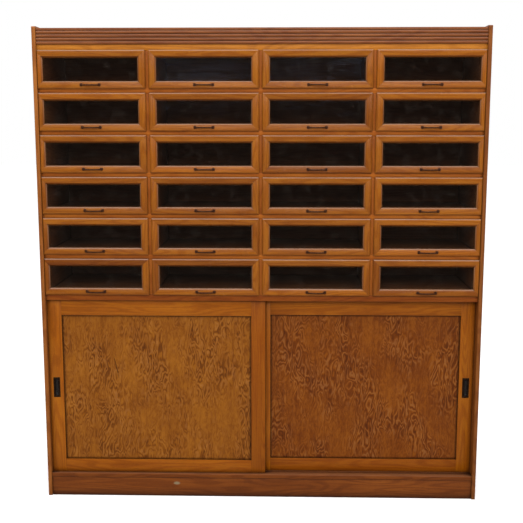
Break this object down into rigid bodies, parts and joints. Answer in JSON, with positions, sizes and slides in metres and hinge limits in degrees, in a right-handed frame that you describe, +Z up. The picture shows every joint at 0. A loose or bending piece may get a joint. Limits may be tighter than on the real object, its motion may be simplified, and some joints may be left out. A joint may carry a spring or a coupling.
{
  "type": "haberdashery cabinet",
  "caption": "Tall oak shop cabinet with rows of glass-fronted drawers under a reeded cornice, over a cupboard with two sliding panelled doors on a plinth.",
  "frame": {"origin": "on the floor, under the middle of the cabinet's box, pulls included", "axes": "+Z up, front with the drawers and doors towards -Y, +X to the right as seen from the front"},
  "size_m": [1.9, 0.51, 2.0451],
  "materials": {
    "oak": "golden brown oak, old shellac, satin with worn edges",
    "oak_dark": "darker oak, satin, dulled by wear",
    "oak_figured": "rotary-cut oak ply with a wavy figure, satin",
    "glass": "clear flat glass",
    "dark_bronze": "dark oxidised bronze, rubbed brighter on its edges"
  },
  "bodies": {
    "carcass": {"side_panel_left": "oak", "side_panel_right": "oak", "drawer_carcass": "oak", "top_with_cornice": "oak", "back_panel": "oak_dark", "base_with_plinth": "oak_dark"},
    "door_left": {"door_frame_left": "oak", "door_panel_left": "oak_figured", "flush_pull_left": "dark_bronze"},
    "door_right": {"door_frame_right": "oak", "door_panel_right": "oak_figured", "flush_pull_right": "dark_bronze"},
    "drawer_r1_c1": {"drawer_r1_c1": "oak", "glass_r1_c1": "glass"},
    "drawer_r1_c2": {"drawer_r1_c2": "oak", "glass_r1_c2": "glass"},
    "drawer_r1_c3": {"drawer_r1_c3": "oak", "glass_r1_c3": "glass"},
    "drawer_r1_c4": {"drawer_r1_c4": "oak", "glass_r1_c4": "glass"},
    "drawer_r2_c1": {"drawer_r2_c1": "oak", "glass_r2_c1": "glass"},
    "drawer_r2_c2": {"drawer_r2_c2": "oak", "glass_r2_c2": "glass"},
    "drawer_r2_c3": {"drawer_r2_c3": "oak", "glass_r2_c3": "glass"},
    "drawer_r2_c4": {"drawer_r2_c4": "oak", "glass_r2_c4": "glass"},
    "drawer_r3_c1": {"drawer_r3_c1": "oak", "glass_r3_c1": "glass"},
    "drawer_r3_c2": {"drawer_r3_c2": "oak", "glass_r3_c2": "glass"},
    "drawer_r3_c3": {"drawer_r3_c3": "oak", "glass_r3_c3": "glass"},
    "drawer_r3_c4": {"drawer_r3_c4": "oak", "glass_r3_c4": "glass"},
    "drawer_r4_c1": {"drawer_r4_c1": "oak", "glass_r4_c1": "glass"},
    "drawer_r4_c2": {"drawer_r4_c2": "oak", "glass_r4_c2": "glass"},
    "drawer_r4_c3": {"drawer_r4_c3": "oak", "glass_r4_c3": "glass"},
    "drawer_r4_c4": {"drawer_r4_c4": "oak", "glass_r4_c4": "glass"},
    "drawer_r5_c1": {"drawer_r5_c1": "oak", "glass_r5_c1": "glass"},
    "drawer_r5_c2": {"drawer_r5_c2": "oak", "glass_r5_c2": "glass"},
    "drawer_r5_c3": {"drawer_r5_c3": "oak", "glass_r5_c3": "glass"},
    "drawer_r5_c4": {"drawer_r5_c4": "oak", "glass_r5_c4": "glass"},
    "drawer_r6_c1": {"drawer_r6_c1": "oak", "glass_r6_c1": "glass"},
    "drawer_r6_c2": {"drawer_r6_c2": "oak", "glass_r6_c2": "glass"},
    "drawer_r6_c3": {"drawer_r6_c3": "oak", "glass_r6_c3": "glass"},
    "drawer_r6_c4": {"drawer_r6_c4": "oak", "glass_r6_c4": "glass"}
  },
  "joints": [
    {"name": "door_left_slide", "type": "slide", "parent": "carcass", "child": "door_left", "axis": [1, 0, 0], "range_m": [0, 0.9125]},
    {"name": "door_right_slide", "type": "slide", "parent": "carcass", "child": "door_right", "axis": [1, 0, 0], "range_m": [-0.9125, 0]},
    {"name": "drawer_r1_c1_slide", "type": "slide", "parent": "carcass", "child": "drawer_r1_c1", "axis": [0, -1, 0], "range_m": [0, 0.38]},
    {"name": "drawer_r1_c2_slide", "type": "slide", "parent": "carcass", "child": "drawer_r1_c2", "axis": [0, -1, 0], "range_m": [0, 0.38]},
    {"name": "drawer_r1_c3_slide", "type": "slide", "parent": "carcass", "child": "drawer_r1_c3", "axis": [0, -1, 0], "range_m": [0, 0.38]},
    {"name": "drawer_r1_c4_slide", "type": "slide", "parent": "carcass", "child": "drawer_r1_c4", "axis": [0, -1, 0], "range_m": [0, 0.38]},
    {"name": "drawer_r2_c1_slide", "type": "slide", "parent": "carcass", "child": "drawer_r2_c1", "axis": [0, -1, 0], "range_m": [0, 0.38]},
    {"name": "drawer_r2_c2_slide", "type": "slide", "parent": "carcass", "child": "drawer_r2_c2", "axis": [0, -1, 0], "range_m": [0, 0.38]},
    {"name": "drawer_r2_c3_slide", "type": "slide", "parent": "carcass", "child": "drawer_r2_c3", "axis": [0, -1, 0], "range_m": [0, 0.38]},
    {"name": "drawer_r2_c4_slide", "type": "slide", "parent": "carcass", "child": "drawer_r2_c4", "axis": [0, -1, 0], "range_m": [0, 0.38]},
    {"name": "drawer_r3_c1_slide", "type": "slide", "parent": "carcass", "child": "drawer_r3_c1", "axis": [0, -1, 0], "range_m": [0, 0.38]},
    {"name": "drawer_r3_c2_slide", "type": "slide", "parent": "carcass", "child": "drawer_r3_c2", "axis": [0, -1, 0], "range_m": [0, 0.38]},
    {"name": "drawer_r3_c3_slide", "type": "slide", "parent": "carcass", "child": "drawer_r3_c3", "axis": [0, -1, 0], "range_m": [0, 0.38]},
    {"name": "drawer_r3_c4_slide", "type": "slide", "parent": "carcass", "child": "drawer_r3_c4", "axis": [0, -1, 0], "range_m": [0, 0.38]},
    {"name": "drawer_r4_c1_slide", "type": "slide", "parent": "carcass", "child": "drawer_r4_c1", "axis": [0, -1, 0], "range_m": [0, 0.38]},
    {"name": "drawer_r4_c2_slide", "type": "slide", "parent": "carcass", "child": "drawer_r4_c2", "axis": [0, -1, 0], "range_m": [0, 0.38]},
    {"name": "drawer_r4_c3_slide", "type": "slide", "parent": "carcass", "child": "drawer_r4_c3", "axis": [0, -1, 0], "range_m": [0, 0.38]},
    {"name": "drawer_r4_c4_slide", "type": "slide", "parent": "carcass", "child": "drawer_r4_c4", "axis": [0, -1, 0], "range_m": [0, 0.38]},
    {"name": "drawer_r5_c1_slide", "type": "slide", "parent": "carcass", "child": "drawer_r5_c1", "axis": [0, -1, 0], "range_m": [0, 0.38]},
    {"name": "drawer_r5_c2_slide", "type": "slide", "parent": "carcass", "child": "drawer_r5_c2", "axis": [0, -1, 0], "range_m": [0, 0.38]},
    {"name": "drawer_r5_c3_slide", "type": "slide", "parent": "carcass", "child": "drawer_r5_c3", "axis": [0, -1, 0], "range_m": [0, 0.38]},
    {"name": "drawer_r5_c4_slide", "type": "slide", "parent": "carcass", "child": "drawer_r5_c4", "axis": [0, -1, 0], "range_m": [0, 0.38]},
    {"name": "drawer_r6_c1_slide", "type": "slide", "parent": "carcass", "child": "drawer_r6_c1", "axis": [0, -1, 0], "range_m": [0, 0.38]},
    {"name": "drawer_r6_c2_slide", "type": "slide", "parent": "carcass", "child": "drawer_r6_c2", "axis": [0, -1, 0], "range_m": [0, 0.38]},
    {"name": "drawer_r6_c3_slide", "type": "slide", "parent": "carcass", "child": "drawer_r6_c3", "axis": [0, -1, 0], "range_m": [0, 0.38]},
    {"name": "drawer_r6_c4_slide", "type": "slide", "parent": "carcass", "child": "drawer_r6_c4", "axis": [0, -1, 0], "range_m": [0, 0.38]}
  ]
}
